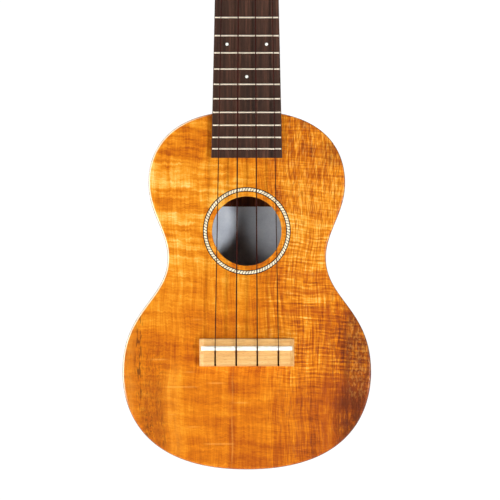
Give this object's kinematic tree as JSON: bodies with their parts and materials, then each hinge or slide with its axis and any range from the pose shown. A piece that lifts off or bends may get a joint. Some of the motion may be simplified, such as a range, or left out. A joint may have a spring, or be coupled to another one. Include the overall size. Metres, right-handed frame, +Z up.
{
  "type": "ukulele",
  "caption": "Soprano ukulele with a figured-wood waisted body, rope-ringed sound hole, pale slotted bridge, long fretted neck and geared tuners.",
  "frame": {"origin": "the nut line on the centreline, in the plane of the soundboard's face", "axes": "+Z up the neck to the headstock, +Y out of the back, +X to the right seen from the front"},
  "size_m": [0.1692, 0.0718, 0.553],
  "materials": {
    "koa": "satin-gloss lacquer on curly koa",
    "mahogany": "satin lacquer",
    "spruce": "bare, sanded",
    "rosewood": "oiled",
    "pale_wood": "satin",
    "bone": "polished bone",
    "paper": "matt paper",
    "rope_inlay": "lacquered marquetry",
    "fret_wire": "polished nickel silver",
    "tuner_metal": "nickel plate",
    "tuner_brass": "machined brass",
    "string": "dark fluorocarbon line"
  },
  "bodies": {
    "instrument": {"soundboard": "koa", "back_panel": "koa", "side_left": "koa", "side_right": "koa", "headstock_veneer": "koa", "neck_block": "mahogany", "tail_block": "mahogany", "neck": "mahogany", "lining_top_left": "spruce", "lining_top_right": "spruce", "lining_back_left": "spruce", "lining_back_right": "spruce", "brace_top_upper": "spruce", "brace_top_lower": "spruce", "brace_back_upper": "spruce", "brace_back_lower": "spruce", "bridge_plate": "spruce", "label": "paper", "rosette": "rope_inlay", "bridge": "pale_wood", "saddle": "bone", "nut": "bone", "fingerboard": "rosewood", "fret_01": "fret_wire", "fret_02": "fret_wire", "fret_03": "fret_wire", "fret_04": "fret_wire", "fret_05": "fret_wire", "fret_06": "fret_wire", "fret_07": "fret_wire", "fret_08": "fret_wire", "fret_09": "fret_wire", "fret_10": "fret_wire", "fret_11": "fret_wire", "fret_12": "fret_wire", "fret_13": "fret_wire", "fret_14": "fret_wire", "fret_15": "fret_wire", "fret_16": "fret_wire", "fret_17": "fret_wire", "string_1": "string", "string_2": "string", "string_3": "string", "string_4": "string", "tuner_plate_1": "tuner_metal", "tuner_plate_2": "tuner_metal", "tuner_plate_3": "tuner_metal", "tuner_plate_4": "tuner_metal"},
    "key_1": {"tuner_key_1": "tuner_metal"},
    "post_1": {"tuner_post_1": "tuner_brass", "string_wrap_1": "string"},
    "key_2": {"tuner_key_2": "tuner_metal"},
    "post_2": {"tuner_post_2": "tuner_brass", "string_wrap_2": "string"},
    "key_3": {"tuner_key_3": "tuner_metal"},
    "post_3": {"tuner_post_3": "tuner_brass", "string_wrap_3": "string"},
    "key_4": {"tuner_key_4": "tuner_metal"},
    "post_4": {"tuner_post_4": "tuner_brass", "string_wrap_4": "string"}
  },
  "joints": [
    {"name": "key_turn_1", "type": "hinge", "parent": "instrument", "child": "key_1", "pos_m": [-0.0172, 0.02227, 0.03201], "axis": [1, 0, 0], "continuous": true},
    {"name": "post_turn_1", "type": "hinge", "parent": "instrument", "child": "post_1", "pos_m": [-0.0172, 0.0088, 0.04177], "axis": [0, -0.9781, 0.2079], "continuous": true},
    {"name": "key_turn_2", "type": "hinge", "parent": "instrument", "child": "key_2", "pos_m": [-0.0182, 0.03141, 0.07505], "axis": [1, 0, 0], "continuous": true},
    {"name": "post_turn_2", "type": "hinge", "parent": "instrument", "child": "post_2", "pos_m": [-0.0182, 0.01795, 0.08481], "axis": [0, -0.9781, 0.2079], "continuous": true},
    {"name": "key_turn_3", "type": "hinge", "parent": "instrument", "child": "key_3", "pos_m": [0.0182, 0.03141, 0.07505], "axis": [1, 0, 0], "continuous": true},
    {"name": "post_turn_3", "type": "hinge", "parent": "instrument", "child": "post_3", "pos_m": [0.0182, 0.01795, 0.08481], "axis": [0, -0.9781, 0.2079], "continuous": true},
    {"name": "key_turn_4", "type": "hinge", "parent": "instrument", "child": "key_4", "pos_m": [0.0172, 0.02227, 0.03201], "axis": [1, 0, 0], "continuous": true},
    {"name": "post_turn_4", "type": "hinge", "parent": "instrument", "child": "post_4", "pos_m": [0.0172, 0.0088, 0.04177], "axis": [0, -0.9781, 0.2079], "continuous": true}
  ],
  "couplings": [
    {"joint": "post_turn_1", "follows": "key_turn_1", "ratio": -0.071429},
    {"joint": "post_turn_2", "follows": "key_turn_2", "ratio": -0.071429},
    {"joint": "post_turn_3", "follows": "key_turn_3", "ratio": -0.071429},
    {"joint": "post_turn_4", "follows": "key_turn_4", "ratio": -0.071429}
  ]
}
